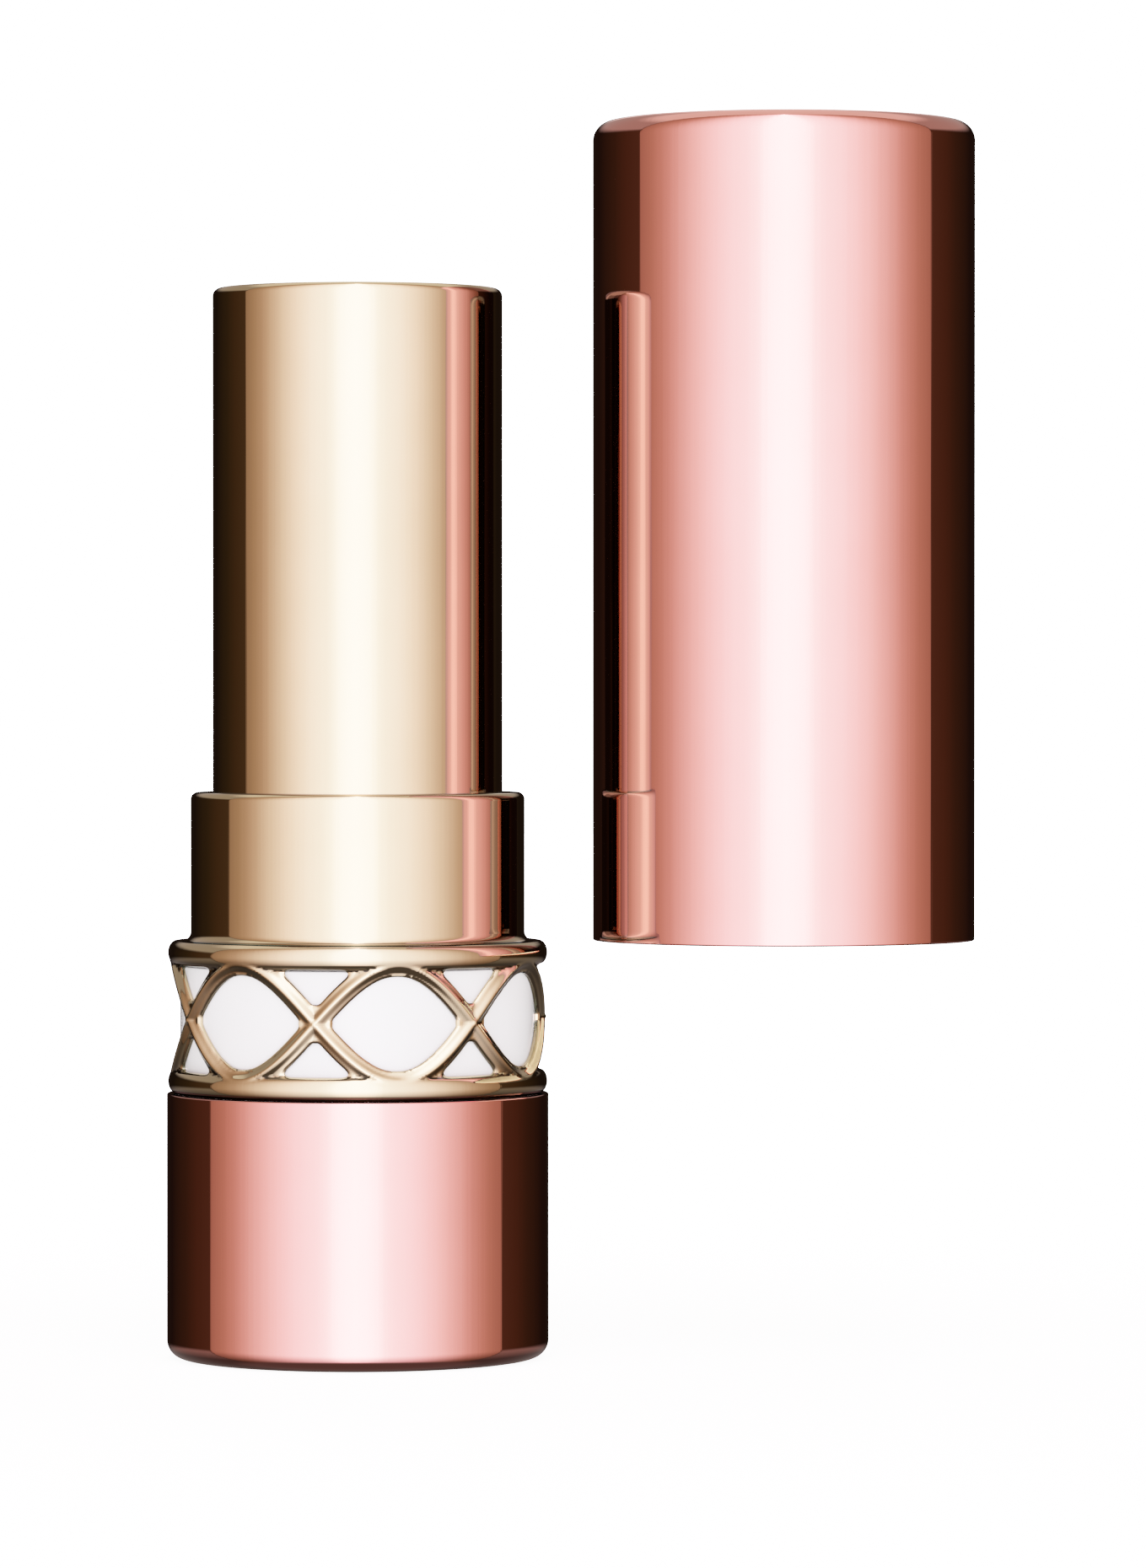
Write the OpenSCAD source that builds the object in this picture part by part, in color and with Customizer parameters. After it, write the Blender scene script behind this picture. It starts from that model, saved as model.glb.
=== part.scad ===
// Twist-up lipstick case, shown with its cap off.
// Millimetres, +Z up. The origin is the centre of the base's foot, on the case axis.
// The cap is held beside the tube, at the height it has when it is closed.

/* [Case] */
// Outer diameter of the base and of the cap
case_d = 21.5; // [20:0.1:24]
// Wall of the drawn metal shells
shell_t = 0.5; // [0.4:0.05:0.6]
// Height of the rose gold base shell
base_h = 14.9; // [13:0.1:18]
// Rounding of the base shell's lower edge
foot_round = 1.0; // [0.6:0.1:1.4]
// Diameter of the blank shade label under the base
label_d = 16; // [12:0.5:17]

/* [Openwork ring] */
// Height of the openwork ring
ring_h = 8.6; // [7.5:0.1:9.5]
// Height of the ring's upper and lower rails
rail_h = 1.35; // [1:0.05:1.6]
// Number of lens-shaped windows round the ring
lens_count = 7; // [6:1:8]
// Width of a lens window
lens_w = 7.6; // [6.4:0.1:8]
// Height of a lens window
lens_h = 5.4; // [4.6:0.1:5.8]
// Angle that turns the whole pattern round the case
pattern_turn = 14; // [-45:1:45]

/* [Collar and tube] */
// Outer diameter of the collar that the cap grips
collar_d = 18.8; // [18.4:0.1:19]
// Height of the collar above the ring
collar_h = 8.35; // [7:0.05:10]
// Outer diameter of the turning tube
tube_d = 16.3; // [16.2:0.05:16.35]
// Height of the tube above the collar
tube_rise = 28.35; // [26:0.05:32]
// Wall of the gold tube and of the collar
gold_t = 0.4; // [0.35:0.05:0.45]

/* [Mechanism] */
// Diameter of the lipstick bullet that the carrier holds
bullet_d = 12.1; // [12.0:0.05:12.15]
// Height of the carrier cup
carrier_h = 11; // [10:0.5:13]
// Travel of the carrier
travel = 25; // [20:1:26]
// Rise of the carrier for one turn of the tube
pitch = 20; // [18:1:24]
// Diameter of the carrier's two lugs
lug_d = 1.6; // [1.4:0.1:1.8]

/* [Cap] */
// Height of the cap
cap_h = 46.2; // [44:0.1:50]
// Rounding of the cap's upper edge
cap_round = 1.1; // [0.6:0.1:1.6]
// Distance between the cap's axis and the case's axis
cap_shift = 24; // [22:0.5:40]

/* [Hidden] */
$fn = 96;

case_r = case_d / 2;
rest_gap = 0.03;                            // between pieces that rest on each other
run_gap = 0.08;                             // radial play of pieces that slide or turn
turn_gap = 0.1;                             // radial play of the tube in the collar
cut = 1;                                    // how far a cutting body runs past a face

ring_z = base_h;
collar_z = base_h + ring_h;
collar_top = collar_z + collar_h;
tube_top = collar_top + tube_rise;

// Radii of the nested mechanism, from the bullet outwards
seat_r = bullet_d / 2;
cup_r = seat_r + 0.45;
guide_ri = cup_r + run_gap;
guide_ro = guide_ri + 0.55;
cam_ri = guide_ro + run_gap;
tube_r = tube_d / 2;
tube_ri = tube_r - gold_t;
cam_ro = tube_ri - 0.02;
bush_ri = tube_r + turn_gap;
collar_r = collar_d / 2;
bush_ro = collar_r - gold_t - 0.02;

// The base, from the foot up
base_ri = case_r - shell_t;
floor_t = 0.6;
label_t = 0.1;
weight_r = 9;
weight_z = floor_t + label_t + rest_gap;
weight_h = 7;
web_z = weight_z + weight_h + rest_gap;
web_t = 1.2;
socket_z = web_z + web_t;
socket_r = 8.6;
spigot_r = 9.3;
snap_z = socket_z + 8;

// The guide tube's foot, the friction ring and the cam's flange, one above the other
foot_z = socket_z + rest_gap;
foot_t = 1.2;
key_w = 1.6;
key_r = 7.65;
friction_r = 0.5;
friction_mid = 7.75;
friction_z = foot_z + foot_t + rest_gap + friction_r;
flange_z = friction_z + friction_r + 0.1;
flange_t = 1.05;
flange_r = 8.45;
bush_z = flange_z + flange_t + 0.12;
tube_z = flange_z + flange_t + rest_gap;

// The carrier and its slots
carrier_z = tube_top - travel - carrier_h;
seat_depth = 9;
lug_z = carrier_z + 1.4;
lug_root = cup_r - 0.3;
lug_reach = tube_ri - 0.09;
slot_w = lug_d + 0.15;
cam_play = 0.2;                             // vertical play of a lug in the cam's slot
cam_mid = (cam_ri + cam_ro) / 2;
cam_slope = atan(pitch / (2 * PI * cam_mid));
cam_half_h = (lug_d / 2) / cos(cam_slope) + cam_play / 2;
cam_half_a = cam_half_h / pitch * 360;
cam_end = 1.2;                              // how far the cam's slot runs past the lug's stops
cam_steps = 64;

// The rounded rim of the tube turns in over the ends of the guide and the cam
rim_ri = cup_r + 0.15;
rim_t = 0.4;
rim_round = 0.45;
guide_top = tube_top - rim_t - 0.2;
cam_top = tube_top - rim_t - 0.3;

// The ring and the band behind it
band_r = 10;
ring_ri = band_r + 0.02;
ring_r = case_r - 0.05;
bar_r = ring_r - 0.1;
lens_pitch = 360 / lens_count;
lens_arc_r = (pow(lens_w / 2, 2) + pow(lens_h / 2, 2)) / lens_h;
lens_off = lens_arc_r - lens_h / 2;
ring_mid = ring_z + ring_h / 2;
window_h = ring_h - 2 * rail_h;
node_half = 0.8;                            // half the height of the solid crossing between lenses
spandrel_w = 3.4;

// The cap
liner_r = case_r - shell_t - 0.03;
liner_ri = 9.75;
grip_ri = collar_r + 0.1;
liner_z = 0.9;
grip_h = 8;
rib_count = 8;
rib_r = 0.25;
rib_reach = 0.03;                           // play between a rib and the collar

// Section of a turned solid with one rounded edge, at its foot or at its top
module turned_section(r, h, edge, top = false) {
    square([r - edge, h]);
    translate([0, top ? 0 : edge]) square([r, h - edge]);
    translate([r - edge, top ? h - edge : edge]) circle(edge);
}

// A tube about the case axis
module pipe(ro, ri, z0, z1) {
    translate([0, 0, z0]) difference() {
        cylinder(r = ro, h = z1 - z0);
        translate([0, 0, -cut]) cylinder(r = ri, h = z1 - z0 + 2 * cut);
    }
}

// A radial post between the radii r0 and r1, with the outline's y along Z
module radial(r0, r1) {
    translate([r0, 0, 0]) rotate([90, 0, 90]) linear_extrude(height = r1 - r0) children();
}

module base_shell() {
    color("#dd9a8c") rotate_extrude() difference() {
        turned_section(case_r, base_h, foot_round);
        translate([0, floor_t + label_t]) square([base_ri, base_h]);
        translate([0, -cut]) square([label_d / 2 + 0.1, cut + label_t]);
    }
}

module shade_label() {
    color("#f2efe9") cylinder(d = label_d, h = label_t);
}

module base_weight() {
    color("#8f9296") translate([0, 0, weight_z]) rotate_extrude()
        turned_section(weight_r, weight_h, 0.4, true);
}

// Plastic core of the base: a skirt over the weight, a socket for the mechanism, a spigot
module base_insert() {
    color("#efe7d8") {
        difference() {
            union() {
                translate([0, 0, weight_z]) cylinder(r = base_ri - 0.03, h = base_h - weight_z);
                translate([0, 0, web_z]) cylinder(r = spigot_r, h = collar_z - 0.1 - web_z);
            }
            translate([0, 0, weight_z - cut]) cylinder(r = weight_r + 0.03, h = web_z - weight_z + cut);
            translate([0, 0, socket_z]) cylinder(r = socket_r, h = collar_z);
            translate([0, 0, snap_z]) rotate_extrude() translate([socket_r - 0.03, 0]) circle(0.22);
        }
        for (a = [0, 180]) rotate([0, 0, a])
            translate([key_r, -key_w / 2, socket_z - 0.1]) cube([socket_r - key_r + 0.1, key_w, foot_t + 0.1]);
    }
}

module band_sleeve() {
    color("#f7f7f8") pipe(band_r, spigot_r + 0.02, ring_z + rest_gap, collar_z - rail_h - rest_gap);
}

// Section of one rail of the ring, with its outer edges rounded
module rail_section(ri) {
    edge = 0.3;
    translate([ri, 0]) square([ring_r - edge - ri, rail_h]);
    translate([ring_r - 2 * edge, edge]) square([2 * edge, rail_h - 2 * edge]);
    translate([ring_r - edge, edge]) circle(edge);
    translate([ring_r - edge, rail_h - edge]) circle(edge);
}

module lens_window() {
    intersection() {
        translate([0, lens_off]) circle(lens_arc_r);
        translate([0, -lens_off]) circle(lens_arc_r);
    }
}

// The small window between a rail and the crossing of two waves
module spandrel_window(up) {
    polygon([[0, up * node_half], [spandrel_w / 2, up * window_h / 2], [-spandrel_w / 2, up * window_h / 2]]);
}

module openwork_ring() {
    color("#d8bf93") {
        translate([0, 0, ring_z + rest_gap]) rotate_extrude() rail_section(ring_ri);
        translate([0, 0, collar_z - rail_h - rest_gap / 2]) rotate_extrude() rail_section(spigot_r + 0.05);
        difference() {
            pipe(bar_r, ring_ri, ring_z + rail_h / 2, collar_z - rail_h / 2);
            for (i = [0 : lens_count - 1]) translate([0, 0, ring_mid]) {
                rotate([0, 0, pattern_turn - 90 + i * lens_pitch]) radial(spigot_r, case_r + cut) lens_window();
                for (up = [-1, 1]) rotate([0, 0, pattern_turn - 90 + (i + 0.5) * lens_pitch])
                    radial(spigot_r, case_r + cut) spandrel_window(up);
            }
        }
    }
}

module collar() {
    flare = 0.5;
    color("#dcc59c") translate([0, 0, collar_z]) rotate_extrude() difference() {
        union() {
            turned_section(collar_r, collar_h, 0.4, true);
            difference() {
                square([collar_r + flare, flare]);
                translate([collar_r + flare, flare]) circle(flare);
            }
        }
        translate([0, -cut]) square([collar_r - gold_t, collar_h - gold_t + cut]);
        square([bush_ri, collar_h + cut]);
    }
}

// Plastic bush inside the collar: the tube turns in it and its foot holds the cam down
module collar_insert() {
    color("#e6dfd0") rotate_extrude() difference() {
        union() {
            translate([0, bush_z]) square([socket_r - 0.02, collar_z - bush_z]);
            translate([0, collar_z]) square([bush_ro, collar_h - gold_t - rest_gap]);
            translate([socket_r - 0.05, snap_z]) circle(0.2);
        }
        square([bush_ri, collar_top]);
    }
}

// Fixed guide of the carrier: two straight slots, and a foot that is keyed into the base
module guide_tube() {
    color("#f1ead9") difference() {
        union() {
            translate([0, 0, foot_z]) cylinder(r = socket_r - 0.1, h = foot_t);
            translate([0, 0, foot_z]) cylinder(r = guide_ro, h = guide_top - foot_z);
        }
        translate([0, 0, foot_z - cut]) cylinder(r = guide_ri, h = guide_top);
        for (a = [0, 180]) rotate([0, 0, a]) {
            translate([key_r - 0.05, -key_w / 2 - 0.08, foot_z - cut])
                cube([socket_r, key_w + 0.16, foot_t + 2 * cut]);
            translate([0, -slot_w / 2, lug_z]) cube([cam_ri, slot_w, travel]);
            for (z = [lug_z, lug_z + travel])
                translate([0, 0, z]) rotate([0, 90, 0]) cylinder(d = slot_w, h = cam_ri);
        }
    }
}

module friction_ring() {
    color("#2b2b2d") translate([0, 0, friction_z]) rotate_extrude()
        translate([friction_mid, 0]) circle(friction_r);
}

// Outline of a cam slot at one height: a sector that is wider than the sleeve is thick
module cam_sector() {
    near = cam_ri - 1;
    far = (cam_ro + 0.4) / cos(cam_half_a);
    polygon([
        near * [cos(cam_half_a), -sin(cam_half_a)],
        far * [cos(cam_half_a), -sin(cam_half_a)],
        far * [cos(cam_half_a), sin(cam_half_a)],
        near * [cos(cam_half_a), sin(cam_half_a)]
    ]);
}

// Sleeve with two helical slots: it turns with the tube and drives the carrier's lugs
module cam_sleeve() {
    run = travel + 2 * cam_end;
    color("#e9d9b6") difference() {
        union() {
            translate([0, 0, flange_z]) cylinder(r = flange_r, h = flange_t);
            translate([0, 0, flange_z]) cylinder(r = cam_ro, h = cam_top - flange_z);
        }
        translate([0, 0, flange_z - cut]) cylinder(r = cam_ri, h = cam_top);
        for (a = [0, 180]) translate([0, 0, lug_z - cam_end])
            rotate([0, 0, a + cam_end / pitch * 360])
                linear_extrude(height = run, twist = run / pitch * 360, slices = cam_steps, segments = 4)
                    cam_sector();
    }
}

module tube_shell() {
    color("#dcc59c") translate([0, 0, tube_z]) rotate_extrude() difference() {
        turned_section(tube_r, tube_top - tube_z, rim_round, true);
        translate([0, -cut]) square([tube_ri, tube_top - tube_z - rim_t + cut]);
        square([rim_ri, tube_top]);
    }
}

// Cup for the bullet, with the two lugs that run through the guide into the cam
module carrier() {
    color("#e3cfa4") {
        difference() {
            translate([0, 0, carrier_z]) cylinder(r = cup_r, h = carrier_h);
            translate([0, 0, carrier_z + carrier_h - seat_depth]) cylinder(r = seat_r, h = carrier_h);
        }
        for (a = [0, 180]) rotate([0, 0, a])
            translate([lug_root, 0, lug_z]) rotate([0, 90, 0]) cylinder(d = lug_d, h = lug_reach - lug_root);
    }
}

module cap_shell() {
    color("#dd9a8c") translate([cap_shift, 0, collar_z]) rotate_extrude() difference() {
        turned_section(case_r, cap_h, cap_round, true);
        translate([0, -cut]) turned_section(base_ri, cap_h - floor_t + cut, cap_round - 0.4, true);
    }
}

// Plastic liner of the cap, with a ribbed mouth that grips the collar
module cap_liner() {
    liner_top = cap_h - floor_t - 0.1;
    roof_t = 0.6;
    color("#efe7d8") translate([cap_shift, 0, collar_z]) {
        rotate_extrude() difference() {
            translate([0, liner_z]) turned_section(liner_r, liner_top - liner_z, cap_round - 0.3, true);
            square([liner_ri, liner_top - roof_t]);
        }
        pipe(liner_ri + 0.1, grip_ri, liner_z, liner_z + grip_h);
        for (i = [0 : rib_count - 1]) rotate([0, 0, (i + 0.5) * 360 / rib_count])
            translate([collar_r + rib_reach + rib_r, 0, liner_z + 0.6]) cylinder(r = rib_r, h = grip_h - 1.2);
    }
}

base_shell();
shade_label();
base_weight();
base_insert();
band_sleeve();
openwork_ring();
collar();
collar_insert();
guide_tube();
friction_ring();
cam_sleeve();
tube_shell();
carrier();
cap_shell();
cap_liner();
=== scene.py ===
import math

import bpy
import numpy as np
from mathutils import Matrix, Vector


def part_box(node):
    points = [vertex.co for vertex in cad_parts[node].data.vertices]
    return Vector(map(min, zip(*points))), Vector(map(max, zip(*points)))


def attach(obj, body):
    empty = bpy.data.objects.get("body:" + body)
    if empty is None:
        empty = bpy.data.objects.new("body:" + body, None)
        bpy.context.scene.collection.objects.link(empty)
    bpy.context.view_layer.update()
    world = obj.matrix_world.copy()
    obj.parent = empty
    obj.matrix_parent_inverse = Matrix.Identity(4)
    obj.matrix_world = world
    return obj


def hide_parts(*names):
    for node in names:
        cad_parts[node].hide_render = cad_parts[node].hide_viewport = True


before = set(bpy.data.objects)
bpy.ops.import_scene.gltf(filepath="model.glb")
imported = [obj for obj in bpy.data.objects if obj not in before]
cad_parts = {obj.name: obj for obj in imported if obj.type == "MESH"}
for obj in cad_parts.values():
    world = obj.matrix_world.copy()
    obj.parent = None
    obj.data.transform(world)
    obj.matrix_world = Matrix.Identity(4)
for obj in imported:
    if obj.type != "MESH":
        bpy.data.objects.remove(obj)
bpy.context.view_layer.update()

# A twist-up lipstick case with its cap held beside it. Lengths are in millimetres until they
# reach a mesh or the camera, which are in metres. Scales of noise are in features per metre.
MM = 0.001

# ---------------------------------------------------------------- sizes

ROUND = 256             # sides of a turned piece
HOLD = 0.05             # distance of a holding ring from an edge
LONG_RUN = 0.25         # shortest stretch of an outline that gets holding rings
RUN_ON = math.radians(5)        # turn below which one stretch runs on into the next
SHARP = math.radians(32)        # turn from which an edge is shaded as sharp

SHELL_T = 0.5           # wall of the base and the cap
FOOT_ROUND = 1.0
CAP_ROUND = 1.1
CAP_DOME = 0.12         # rise of the cap's top towards its middle
FLOOR_T = 0.6           # floor of the base, roof of the cap and of its liner
LABEL_T = 0.1
LABEL_GAP = 0.1         # between the label and the edge of its recess
GOLD_T = 0.4            # wall of the tube and the collar
RIM_ROUND = 0.45        # rounding of the tube's rim
RIM_LIP_R = 6.65        # the tube's mouth
COLLAR_FLARE = 0.5      # the collar's foot, spread onto the ring
SHOULDER = 0.4          # rounding of the collar's top
BUSH_R = 8.25           # the collar's lip round the tube
BAND_BORE_R = 9.32
LINER_R = 9.75          # the liner's bore,
GRIP_R = 9.5            # its mouth
RIB_R = 9.43            # and the crests of the ribs in it
RIBS = 8
RIB_HALF = 0.35         # half the width of a rib
GRIP_H = 8              # height of the mouth


def node_box(name):
    """Lowest and highest corner of a CAD node, in millimetres."""
    low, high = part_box(name)
    return low / MM, high / MM


_, base_high = node_box("base_shell")
ring_low, ring_high = node_box("openwork_ring")
band_low, band_high = node_box("band_sleeve")
collar_low, collar_high = node_box("collar")
tube_low, tube_high = node_box("tube_shell")
cap_low, cap_high = node_box("cap_shell")
liner_low, liner_high = node_box("cap_liner")
_, label_high = node_box("shade_label")

CASE_R = base_high.x
CAP_X = (cap_low.x + cap_high.x) / 2
COLLAR_R = collar_high.x - COLLAR_FLARE
TUBE_R = tube_high.x


# ---------------------------------------------------------------- turned pieces

def arc(r, z, radius, start, end, steps):
    """Points of an arc in the section plane, with angles in degrees from +r towards +z."""
    turns = [math.radians(start + (end - start) * i / steps) for i in range(steps + 1)]
    return [(r + radius * math.cos(a), z + radius * math.sin(a)) for a in turns]


def held(outline):
    """The outline with a holding point close to each end of its long straight stretches, but for
    ends where one long stretch runs on into the next with hardly a turn."""
    count = len(outline)
    runs = [Vector(outline[(i + 1) % count]) - Vector(outline[i]) for i in range(count)]
    points = []
    for i, start in enumerate(outline):
        points.append(start)
        run = runs[i]
        if run.length < LONG_RUN or (start[0] == 0 and run.x == 0):
            continue
        step = HOLD / run.length
        for t, beside in ((step, runs[i - 1]), (1 - step, runs[(i + 1) % count])):
            if beside.length < LONG_RUN or run.angle(beside) > RUN_ON:
                points.append((start[0] + run.x * t, start[1] + run.y * t))
    return points


def finish_mesh(name, vertices, faces):
    """A smooth-shaded object, with its real edges kept sharp."""
    mesh = bpy.data.meshes.new(name)
    mesh.from_pydata([tuple(c * MM for c in v) for v in vertices], [], faces)
    mesh.validate()
    mesh.shade_smooth()
    mesh.set_sharp_from_angle(angle=SHARP)
    piece = bpy.data.objects.new(name, mesh)
    bpy.context.scene.collection.objects.link(piece)
    return piece


def lathe(name, outline, centre_x=0.0, sides=ROUND, shape=None):
    """Turns a closed outline, listed anticlockwise in (radius, height), about a vertical axis.
    shape(angle, r, z) may return another radius, for ribs and flutes."""
    outline = held(outline)
    vertices, rings = [], []
    for r, z in outline:
        if r < 1e-6:
            rings.append([len(vertices)])
            vertices.append((centre_x, 0, z))
            continue
        rings.append(range(len(vertices), len(vertices) + sides))
        for i in range(sides):
            a = 2 * math.pi * i / sides
            own = shape(a, r, z) if shape else r
            vertices.append((centre_x + own * math.cos(a), own * math.sin(a), z))
    faces = []
    for lower, upper in zip(rings, rings[1:] + rings[:1]):
        if len(lower) == 1 and len(upper) == 1:
            continue
        for i in range(sides):
            j = (i + 1) % sides
            if len(lower) == 1:
                faces.append((lower[0], upper[j], upper[i]))
            elif len(upper) == 1:
                faces.append((lower[i], lower[j], upper[0]))
            else:
                faces.append((lower[i], lower[j], upper[j], upper[i]))
    return finish_mesh(name, vertices, faces)


def base_shell():
    """Drawn shell with a rounded foot and a shallow recess for the label."""
    inner = CASE_R - SHELL_T
    recess = label_high.x + LABEL_GAP
    floor = FLOOR_T + LABEL_T
    edge = 0.08
    outline = [(0, LABEL_T), (recess, LABEL_T)]
    outline += arc(recess + edge, edge, edge, 180, 270, 4)
    outline += arc(CASE_R - FOOT_ROUND, FOOT_ROUND, FOOT_ROUND, -90, 0, 16)
    outline += arc(CASE_R - edge, base_high.z - edge, edge, 0, 90, 5)
    outline += [(inner, base_high.z), (inner, floor), (0, floor)]
    return lathe("base_shell_turned", outline)


def cap_shell():
    """Drawn cap, with a rounded shoulder that runs on into a slightly domed top."""
    inner = CASE_R - SHELL_T
    edge = 0.1
    roof = cap_high.z - FLOOR_T
    outline = arc(CASE_R - edge, cap_low.z + edge, edge, -90, 0, 6)
    outline += arc(CASE_R - CAP_ROUND, cap_high.z - CAP_DOME - CAP_ROUND, CAP_ROUND, 0, 84, 16)
    rim_r, rim_z = outline[-1]
    rise = cap_high.z - rim_z
    outline += [(rim_r * t, cap_high.z - rise * t * t) for t in (0.8, 0.6, 0.4, 0.2)]
    outline += [(0, cap_high.z), (0, roof)]
    outline += arc(inner - CAP_ROUND, roof - CAP_ROUND, CAP_ROUND, 90, 0, 8)
    outline += arc(inner + edge, cap_low.z + edge, edge, 180, 270, 4)
    return lathe("cap_shell_turned", outline, CAP_X)


def cap_liner():
    """Liner with a ribbed mouth: grip ribs and a lead-in chamfer."""
    outer = liner_high.x - CAP_X
    bevel, lead, step = 0.1, 0.3, 0.3
    outer_round, inner_round = 0.8, 0.6
    rib_foot, rib_head = liner_low.z + 0.8, liner_low.z + GRIP_H - 0.5
    grip_top = liner_low.z + GRIP_H
    roof = liner_high.z - FLOOR_T
    outline = [(GRIP_R + lead, liner_low.z), (outer - bevel, liner_low.z)]
    outline += [(outer, liner_low.z + bevel)]
    outline += arc(outer - outer_round, liner_high.z - outer_round, outer_round, 0, 90, 6)
    outline += [(0, liner_high.z), (0, roof)]
    outline += arc(LINER_R - inner_round, roof - inner_round, inner_round, 90, 0, 6)
    outline += [(LINER_R, grip_top + step), (GRIP_R, grip_top), (GRIP_R, rib_head)]
    outline += [(GRIP_R, rib_foot), (GRIP_R, liner_low.z + 0.4)]

    def ribbed(angle, r, z):
        if r > GRIP_R + 0.01 or not rib_foot - 0.1 < z < rib_head + 0.1:
            return r
        off_rib = abs((angle / (2 * math.pi) * RIBS) % 1 - 0.5) * 2 * math.pi * GRIP_R / RIBS
        return r - (GRIP_R - RIB_R) * max(0.0, 1 - (off_rib / RIB_HALF) ** 2)

    return lathe("cap_liner_moulded", outline, CAP_X, sides=384, shape=ribbed)


def tube_shell():
    """Turning tube, whose rim is rolled in over the mechanism."""
    inner = TUBE_R - GOLD_T
    edge = 0.05
    lip = 0.16
    rim_z = tube_high.z - GOLD_T
    outline = arc(TUBE_R - edge, tube_low.z + edge, edge, -90, 0, 3)
    outline += arc(TUBE_R - RIM_ROUND, tube_high.z - RIM_ROUND, RIM_ROUND, 0, 90, 14)
    outline += arc(RIM_LIP_R + lip, tube_high.z - lip, lip, 90, 180, 8)
    outline += [(RIM_LIP_R, rim_z), (inner, rim_z), (inner, tube_low.z)]
    return lathe("tube_shell_turned", outline)


def collar():
    """Drawn collar: rounded shoulder, a lip round the tube, and a flare onto the ring."""
    inner = COLLAR_R - GOLD_T
    lip = 0.12
    top = collar_high.z
    outline = [(inner, collar_low.z), (collar_high.x, collar_low.z)]
    outline += arc(collar_high.x, collar_low.z + COLLAR_FLARE, COLLAR_FLARE, 268, 180, 12)
    outline += arc(COLLAR_R - SHOULDER, top - SHOULDER, SHOULDER, 0, 90, 12)
    outline += arc(BUSH_R + lip, top - lip, lip, 90, 180, 6)
    outline += [(BUSH_R, top - GOLD_T), (inner, top - GOLD_T)]
    return lathe("collar_turned", outline)


def band_sleeve():
    """White sleeve behind the ring, with softened edges."""
    edge = 0.1
    outline = [(BAND_BORE_R, band_low.z)]
    outline += arc(band_high.x - edge, band_low.z + edge, edge, -90, 0, 4)
    outline += arc(band_high.x - edge, band_high.z - edge, edge, 0, 90, 4)
    outline += [(BAND_BORE_R, band_high.z)]
    return lathe("band_sleeve_moulded", outline)


def shade_label():
    """Blank disc under the foot."""
    r = label_high.x
    edge = 0.03
    outline = [(0, 0), (r - edge, 0), (r, edge)]
    outline += [(r, LABEL_T - edge), (r - edge, LABEL_T), (0, LABEL_T)]
    return lathe("shade_label_disc", outline, sides=128)


# ---------------------------------------------------------------- openwork ring

COLUMNS = 672           # of the grid round the ring,
ROWS = 92               # and up it
LENSES = 7              # windows between the two waves
PATTERN_TURN = math.radians(-76)
WINDOW_HALF = 2.95      # half the height between the rails
WAVE = 3.2              # reach of the two waves' centre lines
BAR_HALF = 0.57         # half the width of a bar
CORNER = 0.55           # rounding of the windows' corners
STUD_CORNER = 0.2       # and of the stud's
CREST = 10.62           # radius of a bar's ridge
SLOPE = 0.82            # fall of a bar's two facets
STUD = 0.95             # half the width of the stud where two bars cross
STUD_RISE = 0.05
RIDGE = 0.07            # softness of the ridge
BAR_BLEND = 0.05        # softness of the hollows between two bars,
STUD_BLEND = 0.02       # between a bar and its stud,
RAIL_BLEND = 0.08       # and between a bar and a rail
RAIL_MID = 3.62         # height of a rail's crest from the ring's middle
RAIL_HALF = 0.68        # half the width of a rail
NECK_R = 10.22          # radius at the rails' outer edges
CHAMFER = 0.08          # width of the bevel along the windows' edges
CHAMFER_SLOPE = 1.5
RING_BACK = 10.02       # radius of the ring's back,
RING_LIP = 9.35         # and of its lip over the band
LEAST_T = 0.08          # least thickness of the metal at a window's edge


def soft_max(a, b, k):
    """The larger of a and b, rounded where they are closer than k."""
    h = np.clip(0.5 + 0.5 * (a - b) / k, 0, 1)
    return b + (a - b) * h + k * h * (1 - h)


def waves(angle, v):
    """Distance from each of the two interlaced waves that cross between the rails."""
    phase = (angle - PATTERN_TURN) * LENSES / 2
    height = WAVE * np.cos(phase)
    slope = WAVE * np.sin(phase) * LENSES / 2 / CREST
    steep = np.sqrt(1 + slope ** 2)
    return np.abs(v - height) / steep, np.abs(v + height) / steep


def from_crossing(angle, v):
    """Distance from the nearest crossing, counted along the two diagonals."""
    phase = (angle - PATTERN_TURN) * LENSES / 2
    along = np.arcsin(np.clip(np.cos(phase), -1, 1)) * CREST * 2 / LENSES
    return np.abs(along) + np.abs(v)


def ring_field(angle, v):
    """How far a point lies inside the metal: negative in a window."""
    one, two = waves(angle, v)
    bars = soft_max(BAR_HALF - one, BAR_HALF - two, CORNER)
    bars = soft_max(bars, (STUD - from_crossing(angle, v)) / math.sqrt(2), STUD_CORNER)
    return soft_max(bars, np.abs(v) - WINDOW_HALF, CORNER)


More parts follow.
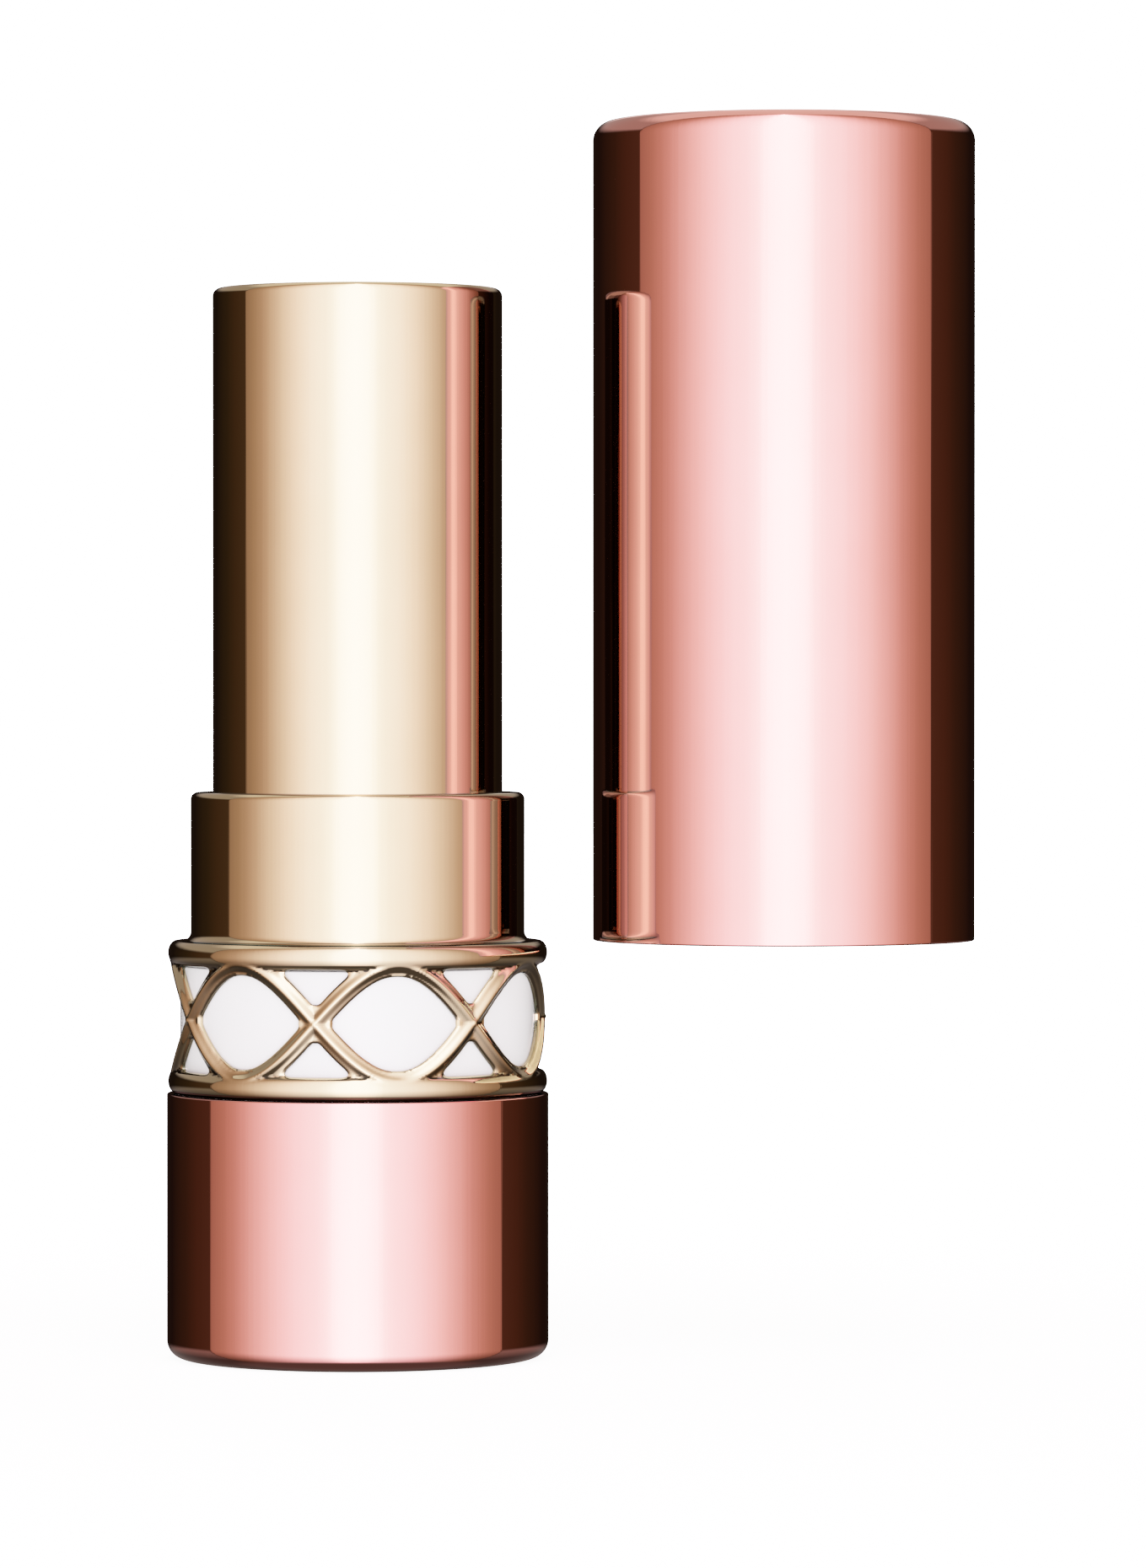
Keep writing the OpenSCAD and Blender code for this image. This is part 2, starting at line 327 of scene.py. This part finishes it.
def ring_front(angle, v):
    """Radius of the ring's face: ridged bars between two rounded rails."""
    one, two = waves(angle, v)
    ridge_one = CREST - SLOPE * np.sqrt(one ** 2 + RIDGE ** 2)
    ridge_two = CREST - SLOPE * np.sqrt(two ** 2 + RIDGE ** 2)
    bars = soft_max(ridge_one, ridge_two, BAR_BLEND)
    stud = CREST + STUD_RISE - SLOPE * from_crossing(angle, v)
    bars = soft_max(bars, stud, STUD_BLEND)
    reach = np.clip((np.abs(v) - RAIL_MID) / RAIL_HALF, -1, 1)
    rail = NECK_R + (ring_high.x - 0.02 - NECK_R) * np.sqrt(np.maximum(0.02, 1 - reach ** 2))
    bars = np.where(np.abs(v) > RAIL_MID, NECK_R, bars)
    face = soft_max(bars, rail, RAIL_BLEND)
    bevel = np.maximum(0, CHAMFER - ring_field(angle, v))
    return np.maximum(face - CHAMFER_SLOPE * bevel, RING_BACK + LEAST_T)


def openwork_ring():
    """The pierced ring, cut from a grid wrapped round the case: the windows' edges are found by
    interpolation along the grid's lines, and walls join the face to the back."""
    mid = (ring_low.z + ring_high.z) / 2
    half = (ring_high.z - ring_low.z) / 2
    angles = np.linspace(0, 2 * math.pi, COLUMNS, endpoint=False)
    heights = np.linspace(-half, half, ROWS)
    field = ring_field(angles[:, None], heights[None, :])
    points, index = [], {}

    def place(key, angle, v):
        if key not in index:
            index[key] = len(index)
            points.append((angle, v))
        return index[key]

    def at_corner(i, j):
        return place((i % COLUMNS, j), angles[i % COLUMNS], heights[j])

    def at_crossing(i0, j0, i1, j1):
        here, there = (i0 % COLUMNS, j0), (i1 % COLUMNS, j1)
        t = field[here] / (field[here] - field[there])
        step = 2 * math.pi / COLUMNS
        angle = (i0 + (i1 - i0) * t) * step
        v = heights[j0] + (heights[j1] - heights[j0]) * t
        return place((min(here, there), max(here, there)), angle, v)

    faces, rim = [], []
    for i in range(COLUMNS):
        for j in range(ROWS - 1):
            loop = [(i, j), (i + 1, j), (i + 1, j + 1), (i, j + 1)]
            inside = [field[p % COLUMNS, q] > 0 for p, q in loop]
            if not any(inside):
                continue
            face, cuts = [], []
            for k in range(4):
                here, there = loop[k], loop[(k + 1) % 4]
                if inside[k]:
                    face.append(at_corner(*here))
                if inside[k] != inside[(k + 1) % 4]:
                    face.append(at_crossing(*here, *there))
                    cuts.append((len(face) - 1, inside[k]))
            faces.append(face)
            for position, leaving in cuts:
                if leaving:
                    rim.append((face[position], face[(position + 1) % len(face)]))
            if j == 0:
                rim.append((face[0], face[1]))
            if j == ROWS - 2:
                rim.append((face[2], face[3]))
    spread = np.array(points)
    front = ring_front(spread[:, 0], spread[:, 1])
    back = np.where(spread[:, 1] > WINDOW_HALF + 0.1, RING_LIP, RING_BACK)
    vertices = []
    turn_x, turn_y, z = np.cos(spread[:, 0]), np.sin(spread[:, 0]), mid + spread[:, 1]
    for radius in (front, back):
        vertices += list(zip(radius * turn_x, radius * turn_y, z))
    count = len(points)
    faces += [[v + count for v in reversed(face)] for face in faces]
    faces += [(b, a, a + count, b + count) for a, b in rim]
    return finish_mesh("openwork_ring_cast", vertices, faces)


# ---------------------------------------------------------------- materials

class Nodes:
    """Short hand for building one material's nodes."""

    def __init__(self, name):
        self.material = bpy.data.materials.new(name)
        self.material.use_nodes = True
        self.tree = self.material.node_tree
        self.bsdf = self.tree.nodes["Principled BSDF"]

    def add(self, kind, **settings):
        node = self.tree.nodes.new(kind)
        for key, value in settings.items():
            setattr(node, key, value)
        return node

    def link(self, out, into):
        self.tree.links.new(out, into)

    def set(self, **sockets):
        """Sets the shader's own sockets, with _ for a space in a name."""
        for key, value in sockets.items():
            self.bsdf.inputs[key.replace("_", " ")].default_value = value

    def stretched(self, across, up):
        """Object coordinates scaled by across in x and y, and by up in z."""
        place = self.add("ShaderNodeTexCoord")
        scale = self.add("ShaderNodeMapping")
        scale.inputs["Scale"].default_value = (across, across, up)
        self.link(place.outputs["Object"], scale.inputs["Vector"])
        return scale.outputs["Vector"]

    def noise(self, across, up, detail, roughness):
        """Noise with its own number of features per metre across and up."""
        node = self.add("ShaderNodeTexNoise")
        node.inputs["Scale"].default_value = 1.0
        node.inputs["Detail"].default_value = detail
        node.inputs["Roughness"].default_value = roughness
        self.link(self.stretched(across, up), node.inputs["Vector"])
        return node.outputs["Fac"]

    def ranged(self, value, low, high, new_low=0.0, new_high=1.0):
        """The value mapped from low..high to new_low..new_high, and held at the ends."""
        node = self.add("ShaderNodeMapRange")
        ends = {"From Min": low, "From Max": high, "To Min": new_low, "To Max": new_high}
        for name, number in ends.items():
            node.inputs[name].default_value = number
        self.link(value, node.inputs["Value"])
        return node.outputs["Result"]

    def join(self, a, b, operation="ADD"):
        node = self.add("ShaderNodeMath", operation=operation)
        self.link(a, node.inputs[0])
        self.link(b, node.inputs[1])
        return node.outputs[0]

    def blend(self, factor, a, b):
        """Between colour a and colour b."""
        node = self.add("ShaderNodeMix", data_type="RGBA")
        self.link(factor, node.inputs["Factor"])
        node.inputs["A"].default_value = (*a, 1)
        node.inputs["B"].default_value = (*b, 1)
        return node.outputs["Result"]

    def bump(self, height, distance, strength):
        """Relief whose height of 1 stands for the distance, in metres."""
        node = self.add("ShaderNodeBump")
        node.inputs["Distance"].default_value = distance
        node.inputs["Strength"].default_value = strength
        self.link(height, node.inputs["Height"])
        self.link(node.outputs["Normal"], self.bsdf.inputs["Normal"])


UNDERSIDE_SHADE = 0.16        # share of its colour that metal keeps where it faces the table: painted shade
EDGE_WEAR = 0.09        # extra roughness of a worn edge
SMUDGE = 0.022          # of a smudge
MARK = 0.03             # of a small handling mark
LINE = 0.006            # of a draw line, more or less
LINE_DEPTH = 4e-6       # depth of a draw line, in metres


def polished_metal(name, low, high, rough, recess=1.0):
    """Mirror-polished, anodised metal: long draw lines, faint smudges, a few marks and worn
    edges. Its colour is darkened where it faces down: painted shade for the case's own shade on
    the table. Its last argument, below 1, paints shade into the hollows of a casting."""
    n = Nodes(name)
    n.set(Metallic=1.0)
    clouds = n.noise(90, 90, 4.0, 0.6)
    colour = n.blend(n.ranged(clouds, 0.35, 0.65), low, high)
    surface = n.add("ShaderNodeNewGeometry")
    corners = surface.outputs["Pointiness"]
    split = n.add("ShaderNodeSeparateXYZ")
    n.link(surface.outputs["Normal"], split.inputs[0])
    # painted shade: the colour darkens as the surface turns to face down
    light = n.ranged(split.outputs["Z"], -0.5, -0.05, UNDERSIDE_SHADE, 1)
    # painted shade in the casting's hollows, found by pointiness
    if recess < 1:
        light = n.join(light, n.ranged(corners, 0.44, 0.495, recess, 1), "MULTIPLY")
    shade = n.add("ShaderNodeVectorMath", operation="SCALE")
    n.link(colour, shade.inputs[0])
    n.link(light, shade.inputs["Scale"])
    n.link(shade.outputs[0], n.bsdf.inputs["Base Color"])
    lines = n.noise(2100, 14, 3.0, 0.55)
    smudges = n.noise(260, 160, 5.0, 0.62)
    marks = n.noise(1500, 5200, 2.0, 0.4)
    wear = n.noise(1900, 1900, 3.0, 0.5)
    edges = n.ranged(corners, 0.53, 0.60, 0, EDGE_WEAR)
    grain = n.join(n.ranged(lines, 0.3, 0.7, -LINE, LINE), n.ranged(smudges, 0.5, 0.75, 0, SMUDGE))
    grain = n.join(grain, n.ranged(marks, 0.66, 0.78, 0, MARK))
    grain = n.join(grain, n.join(edges, n.ranged(wear, 0.4, 0.65), "MULTIPLY"))
    level = n.add("ShaderNodeMath", operation="ADD")
    level.inputs[1].default_value = rough
    n.link(grain, level.inputs[0])
    n.link(level.outputs[0], n.bsdf.inputs["Roughness"])
    n.bump(lines, LINE_DEPTH, 1.0)
    return n.material


SATIN_DEPTH = 1e-5      # depth of each relief, in metres
TOOL_DEPTH = 2e-5
PAPER_DEPTH = 1.5e-5
HALF = 0.5              # strength of these reliefs


def moulded_plastic(name, low, high, rough, coat=0.0, grain=1.0):
    """Moulded plastic: a fine satin texture and flow clouds."""
    n = Nodes(name)
    n.set(Coat_Weight=coat, Coat_Roughness=0.08)
    clouds = n.noise(150, 90, 3.0, 0.55)
    n.link(n.blend(n.ranged(clouds, 0.3, 0.7), low, high), n.bsdf.inputs["Base Color"])
    satin = n.noise(5200, 5200, 2.0, 0.5)
    n.link(n.ranged(clouds, 0.3, 0.7, rough - 0.04, rough + 0.05), n.bsdf.inputs["Roughness"])
    n.bump(satin, grain * SATIN_DEPTH, HALF)
    return n.material


def turned_steel(name):
    """Turned, zinc-plated steel slug."""
    n = Nodes(name)
    n.set(Metallic=1.0)
    clouds = n.noise(300, 300, 4.0, 0.6)
    n.link(n.blend(clouds, (0.42, 0.43, 0.45), (0.58, 0.59, 0.61)), n.bsdf.inputs["Base Color"])
    rings = n.noise(60, 5200, 2.0, 0.5)
    n.link(n.ranged(rings, 0.3, 0.7, 0.25, 0.42), n.bsdf.inputs["Roughness"])
    n.bump(rings, TOOL_DEPTH, HALF)
    return n.material


def soft_rubber(name):
    """Matt black elastomer."""
    n = Nodes(name)
    clouds = n.noise(900, 900, 4.0, 0.6)
    n.link(n.blend(clouds, (0.012, 0.012, 0.013), (0.03, 0.03, 0.031)), n.bsdf.inputs["Base Color"])
    n.link(n.ranged(clouds, 0.3, 0.7, 0.55, 0.75), n.bsdf.inputs["Roughness"])
    n.bump(clouds, TOOL_DEPTH, HALF)
    return n.material


def label_film(name):
    """Blank label film with a fine paper tooth."""
    n = Nodes(name)
    tooth = n.noise(3800, 3800, 5.0, 0.65)
    clouds = n.noise(120, 120, 3.0, 0.5)
    n.link(n.blend(clouds, (0.80, 0.78, 0.74), (0.88, 0.86, 0.83)), n.bsdf.inputs["Base Color"])
    n.link(n.ranged(tooth, 0.3, 0.7, 0.45, 0.62), n.bsdf.inputs["Roughness"])
    n.bump(tooth, PAPER_DEPTH, HALF)
    return n.material


rose_gold = polished_metal("rose_gold", (0.92, 0.392, 0.332), (0.945, 0.41, 0.35), 0.02)
pale_gold = polished_metal("pale_gold", (0.685, 0.548, 0.322), (0.72, 0.573, 0.342), 0.02)
# the ring's hollows get painted shade, down to 0.45 of its colour
ring_gold = polished_metal("ring_gold", (0.65, 0.53, 0.315), (0.71, 0.575, 0.35), 0.035, recess=0.45)
white_band = moulded_plastic("white_band", (0.545, 0.565, 0.55), (0.585, 0.605, 0.59), 0.2,
                             coat=0.8, grain=0.15)
core_plastic = moulded_plastic("core_plastic", (0.80, 0.76, 0.68), (0.85, 0.81, 0.74), 0.42)
slide_plastic = moulded_plastic("slide_plastic", (0.83, 0.78, 0.66), (0.87, 0.83, 0.72), 0.34)
carrier_plastic = moulded_plastic("carrier_plastic", (0.71, 0.57, 0.33), (0.77, 0.63, 0.38), 0.26,
                                  coat=0.4, grain=0.5)


# ---------------------------------------------------------------- pieces of the object

def fit(piece, node, body, material):
    """A made piece that stands for a CAD node."""
    piece.data.materials.append(material)
    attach(piece, body)
    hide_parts(node)


fit(base_shell(), "base_shell", "base", rose_gold)
fit(shade_label(), "shade_label", "base", label_film("label_film"))
fit(band_sleeve(), "band_sleeve", "base", white_band)
fit(openwork_ring(), "openwork_ring", "base", ring_gold)
fit(collar(), "collar", "base", pale_gold)
fit(tube_shell(), "tube_shell", "tube", pale_gold)
fit(cap_shell(), "cap_shell", "cap", rose_gold)
fit(cap_liner(), "cap_liner", "cap", core_plastic)

for node, material in (
    ("base_weight", turned_steel("turned_steel")),
    ("base_insert", core_plastic),
    ("collar_insert", core_plastic),
    ("guide_tube", slide_plastic),
    ("friction_ring", soft_rubber("soft_rubber")),
    ("cam_sleeve", slide_plastic),
    ("carrier", carrier_plastic),
):
    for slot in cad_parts[node].material_slots:
        slot.material = material


# ---------------------------------------------------------------- studio

# Red, green and blue light round the horizon, by angle from the camera's side, in degrees
LIGHT_PROFILE = [
    (0, 6.8, 5.8, 6.8), (6, 6.4, 5.5, 6.5), (11, 5.8, 5.1, 6.0), (17, 4.2, 3.85, 4.5),
    (23, 3.6, 3.25, 3.8), (35, 3.2, 2.75, 3.2), (47, 2.6, 2.1, 2.35), (60, 1.8, 1.4, 1.45),
    (74, 1.1, 0.75, 0.68), (81, 0.86, 0.55, 0.46), (89, 0.65, 0.40, 0.30), (97.8, 0.50, 0.30, 0.22),
    (99, 0.075, 0.04, 0.022), (112, 0.06, 0.03, 0.015), (125, 0.035, 0.02, 0.01),
    (150, 0.012, 0.007, 0.005),
]
PEAK = 8.0              # light that the profile's colour ramp holds as 1
WHITE = 6.0             # light that the film shows as pure white

# The dark side away from the camera, as a share of half a turn, and what fills it. Heights are
# those of a direction of length 1; each pair is where a light starts and where it is full.
FAR_SIDE = (0.545, 0.56)
WALL_LIGHT, WALL_UP = (0.50, 0.42, 0.39), (0.18, 0.34)
CEILING_LIGHT, CEILING_UP = (1.3, 1.15, 1.1), (0.60, 0.78)
TABLE_LIGHT, TABLE_DOWN = (0.31, 0.25, 0.23), (0.10, 0.25)
STRIP_LIGHT, STRIP_SIDE = (1.35, 1.2, 1.15), (0.93, 0.96)   # straight behind, as high as the wall
UNDER_LIGHT, UNDER_DOWN = (0.60, 0.48, 0.45), (0.72, 0.85)  # straight down, on all sides

SECOND_HAND = (0.55, 0.60, 0.75)    # share of the light that is mirrored by two pieces
THIRD_HAND = (0.42, 0.75, 0.9)      # and what further mirrors leave of that


def studio_world():
    """Light by direction alone: a broad bright panel round the camera's side, brightest in the
    middle, and on the far side a dark room with a soft box overhead and a table below. Light
    that several pieces mirror is dimmed. The camera itself sees plain white."""
    world = bpy.data.worlds.new("studio")
    bpy.context.scene.world = world
    world.use_nodes = True
    tree = world.node_tree
    tree.nodes.clear()

    def add(kind, **settings):
        node = tree.nodes.new(kind)
        for key, value in settings.items():
            setattr(node, key, value)
        return node

    def link(out, into):
        tree.links.new(out, into)

    def math_node(operation, a, b=None):
        node = add("ShaderNodeMath", operation=operation)
        for socket, value in zip(node.inputs, (a, b)):
            if value is None:
                continue
            if isinstance(value, (int, float)):
                socket.default_value = value
            else:
                link(value, socket)
        return node.outputs[0]

    def smooth(value, low, high):
        node = add("ShaderNodeMapRange", interpolation_type="SMOOTHSTEP")
        node.inputs["From Min"].default_value = low
        node.inputs["From Max"].default_value = high
        link(value, node.inputs["Value"])
        return node.outputs["Result"]

    def mix(factor, a, b):
        node = add("ShaderNodeMix", data_type="RGBA", clamp_result=False)
        link(factor, node.inputs["Factor"])
        for socket, value in ((node.inputs["A"], a), (node.inputs["B"], b)):
            if isinstance(value, tuple):
                socket.default_value = (*value, 1)
            else:
                link(value, socket)
        return node.outputs["Result"]

    direction = add("ShaderNodeTexCoord").outputs["Generated"]
    split = add("ShaderNodeSeparateXYZ")
    link(direction, split.inputs[0])
    x, y, z = split.outputs
    around = math_node("ARCTAN2", x, math_node("MULTIPLY", y, -1.0))
    share = math_node("DIVIDE", math_node("ABSOLUTE", around), math.pi)
    ramp = add("ShaderNodeValToRGB")
    elements = ramp.color_ramp.elements
    for i, (degrees, *light) in enumerate(LIGHT_PROFILE):
        element = elements[i] if i < 2 else elements.new(degrees / 180)
        element.position = degrees / 180
        element.color = (*(c / PEAK for c in light), 1)
    link(share, ramp.inputs[0])
    scale = add("ShaderNodeVectorMath", operation="SCALE")
    scale.inputs["Scale"].default_value = PEAK
    link(ramp.outputs["Color"], scale.inputs[0])
    room = scale.outputs[0]

    below = math_node("MULTIPLY", z, -1.0)
    for light, side, height, ends in (
        (WALL_LIGHT, FAR_SIDE, z, WALL_UP),
        (CEILING_LIGHT, FAR_SIDE, z, CEILING_UP),
        (TABLE_LIGHT, FAR_SIDE, below, TABLE_DOWN),
        (STRIP_LIGHT, STRIP_SIDE, z, WALL_UP),
    ):
        amount = math_node("MULTIPLY", smooth(share, *side), smooth(height, *ends))
        room = mix(amount, room, light)
    room = mix(smooth(below, *UNDER_DOWN), room, UNDER_LIGHT)

    path = add("ShaderNodeLightPath")
    mirrored = math_node("LESS_THAN", path.outputs["Diffuse Depth"], 0.5)
    for depth, kept in ((2.5, SECOND_HAND), (3.5, THIRD_HAND)):
        dimmed = add("ShaderNodeVectorMath", operation="MULTIPLY")
        dimmed.inputs[1].default_value = kept
        link(room, dimmed.inputs[0])
        deep = math_node("GREATER_THAN", path.outputs["Ray Depth"], depth)
        room = mix(math_node("MULTIPLY", deep, mirrored), room, dimmed.outputs[0])

    lit = add("ShaderNodeBackground")
    link(room, lit.inputs["Color"])
    seen = add("ShaderNodeBackground")
    seen.inputs["Color"].default_value = (1, 1, 1, 1)
    seen.inputs["Strength"].default_value = WHITE
    pick = add("ShaderNodeMixShader")
    link(path.outputs["Is Camera Ray"], pick.inputs[0])
    link(lit.outputs[0], pick.inputs[1])
    link(seen.outputs[0], pick.inputs[2])
    out = add("ShaderNodeOutputWorld")
    link(pick.outputs[0], out.inputs["Surface"])


FLOOR_R = 1400
FLOOR_TOP = -0.05       # just under the base's foot
FLOOR_BOTTOM = -2
NEAR_M, AWAY_M = 0.03, 0.25     # where the floor's own glow starts to rise, and where it is full
NEAR_GLOW = 2.8


def studio_floor():
    """Pale floor with a painted glow of its own, weaker near the case, so that it fades to white
    away from the case.
    """
    floor = lathe("studio_floor", [
        (0, FLOOR_TOP), (0, FLOOR_BOTTOM), (FLOOR_R, FLOOR_BOTTOM), (FLOOR_R, FLOOR_TOP),
    ], centre_x=12, sides=96)
    n = Nodes("studio_floor")
    n.set(Base_Color=(0.9, 0.9, 0.9, 1), Roughness=0.9, Specular_IOR_Level=0.0)
    place = n.add("ShaderNodeTexCoord")
    length = n.add("ShaderNodeVectorMath", operation="LENGTH")
    n.link(place.outputs["Object"], length.inputs[0])
    glow = n.ranged(length.outputs["Value"], NEAR_M, AWAY_M, NEAR_GLOW, WHITE)
    n.set(Emission_Color=(1, 1, 1, 1))
    n.link(glow, n.bsdf.inputs["Emission Strength"])
    floor.data.materials.append(n.material)
    floor.visible_glossy = False


def film():
    """A soft shoulder, so that bright reflections roll off towards white."""
    view = bpy.context.scene.view_settings
    view.view_transform = "Standard"
    view.look = "None"
    view.use_curve_mapping = True
    curves = view.curve_mapping
    curves.white_level = (WHITE, WHITE, WHITE)
    tone = curves.curves[3]         # red, green and blue together
    for light in (0.12, 0.3, 0.55, 0.9, 1.4, 2.1, 3.0, 4.2):
        tone.points.new(light / WHITE, (1 - math.exp(-light)) / (1 - math.exp(-WHITE)))
    curves.update()


LENS_MM = 174.2
CAMERA_AT = (12.13, -427.6, 38.5)
CAMERA_AIM = (12.13, 0, 32.3)


def camera():
    """The photo's view."""
    data = bpy.data.cameras.new("camera")
    data.sensor_width = 36.0
    data.lens = LENS_MM
    data.clip_start = 0.01
    data.clip_end = 10.0
    view = bpy.data.objects.new("camera", data)
    view.location = Vector(CAMERA_AT) * MM
    aim = Vector(CAMERA_AIM) * MM
    view.rotation_euler = (aim - view.location).to_track_quat("-Z", "Y").to_euler()
    bpy.context.scene.collection.objects.link(view)
    bpy.context.scene.camera = view


studio_world()
studio_floor()
film()
camera()
